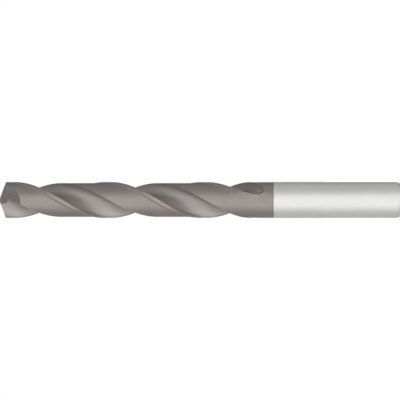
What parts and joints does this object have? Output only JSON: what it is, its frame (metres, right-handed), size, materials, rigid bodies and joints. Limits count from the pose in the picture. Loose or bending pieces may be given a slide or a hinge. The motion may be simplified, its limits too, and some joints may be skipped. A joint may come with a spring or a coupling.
{
  "type": "solid carbide drill",
  "caption": "Solid carbide twist drill with helical flutes and a 140 degree thinned point, coated over the fluted part, on a plain bright cylindrical shank.",
  "frame": {"origin": "centre of the flat end of the shank, on which the drill stands", "axes": "+Z along the drill's axis from the shank end to the point, +X through one of the cutting corners"},
  "size_m": [0.008, 0.008, 0.089],
  "materials": {
    "carbide": "satin grey hard coating over the fluted part, bright fine-ground shank"
  },
  "bodies": {
    "root": {"drill": "carbide"}
  },
  "joints": []
}
